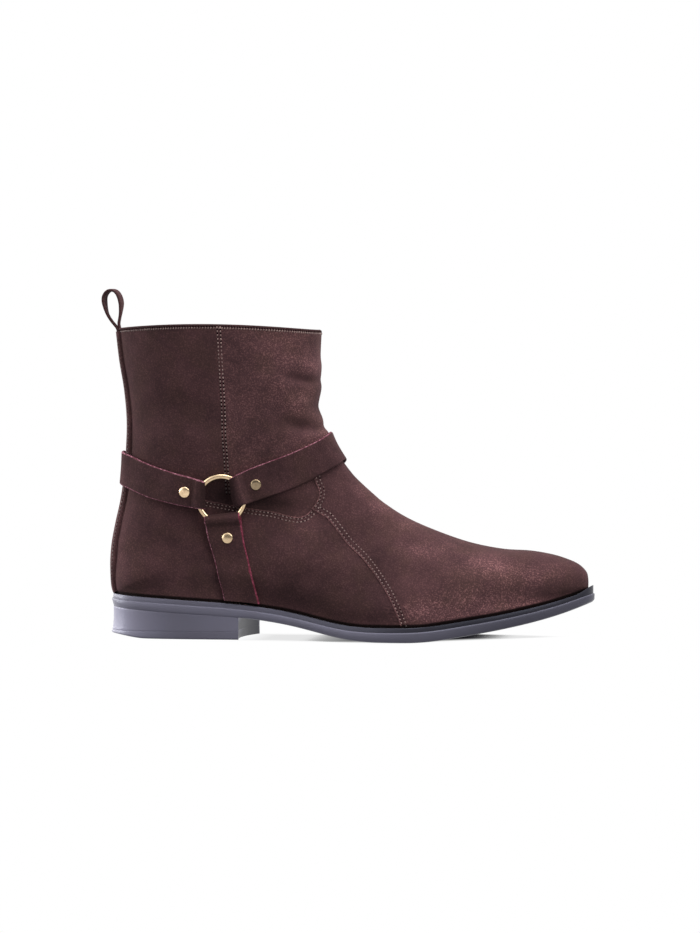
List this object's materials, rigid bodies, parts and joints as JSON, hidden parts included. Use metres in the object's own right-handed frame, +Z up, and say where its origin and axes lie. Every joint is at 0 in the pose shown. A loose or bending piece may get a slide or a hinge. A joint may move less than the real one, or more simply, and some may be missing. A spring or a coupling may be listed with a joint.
{
  "type": "harness boot",
  "caption": "Suede ankle boot with harness straps joined by metal rings, a pull loop at the back of the collar, a low stacked heel and an almond toe.",
  "frame": {"origin": "on the floor under the middle of the heel", "axes": "+X towards the toe, -Y towards the outer side of the right foot, +Z up"},
  "size_m": [0.3155, 0.104, 0.2226],
  "materials": {
    "suede": "dark reddish brown suede with a short nap",
    "strap_suede": "dark reddish brown suede with raw crimson edges",
    "brass": "pale antique brass, softly polished",
    "sole_rubber": "satin charcoal moulded rubber",
    "insole_leather": "pale smooth lining leather"
  },
  "bodies": {
    "root": {"upper": "suede", "back_stay": "suede", "pull_loop": "suede", "strap_back": "strap_suede", "strap_front": "strap_suede", "strap_down_outer": "strap_suede", "strap_down_inner": "strap_suede", "ring_outer": "brass", "ring_inner": "brass", "rivet_back_outer": "brass", "rivet_back_inner": "brass", "rivet_front_outer": "brass", "rivet_front_inner": "brass", "rivet_down_outer": "brass", "rivet_down_inner": "brass", "insole": "insole_leather", "welt": "sole_rubber", "outsole": "sole_rubber", "heel": "sole_rubber", "top_lift": "sole_rubber"}
  },
  "joints": []
}
